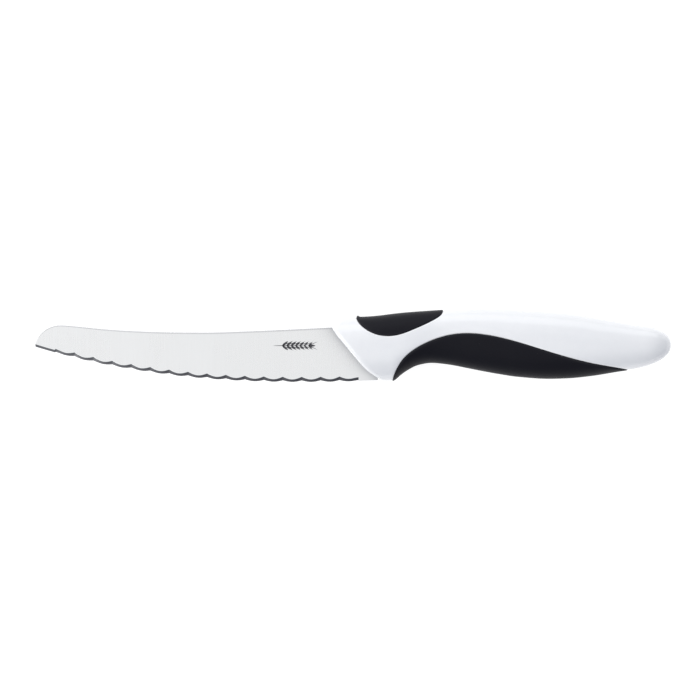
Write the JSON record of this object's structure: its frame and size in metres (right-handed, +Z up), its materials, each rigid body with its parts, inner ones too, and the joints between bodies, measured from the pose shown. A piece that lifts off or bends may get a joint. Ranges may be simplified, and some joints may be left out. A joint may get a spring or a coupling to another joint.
{
  "type": "bread knife",
  "caption": "Small bread knife with a rounded nose, a wavy edge and a slanted collar, in a white moulded handle with black soft grips.",
  "frame": {"origin": "under the middle of the knife's box, on the surface that it lies on, flat on its side", "axes": "+X along the knife from the tip to the butt, +Y across the blade from the cutting edge to the spine, +Z up through the thickness"},
  "size_m": [0.2346, 0.027, 0.0175],
  "materials": {
    "blade_steel": "satin ground stainless steel",
    "core_plastic": "plain moulded grey",
    "white_plastic": "glossy cool white",
    "soft_grip": "matte black soft plastic"
  },
  "bodies": {
    "root": {"blade": "blade_steel", "tang_core": "core_plastic", "handle_body": "white_plastic", "thumb_grip": "soft_grip", "belly_grip": "soft_grip"}
  },
  "joints": []
}
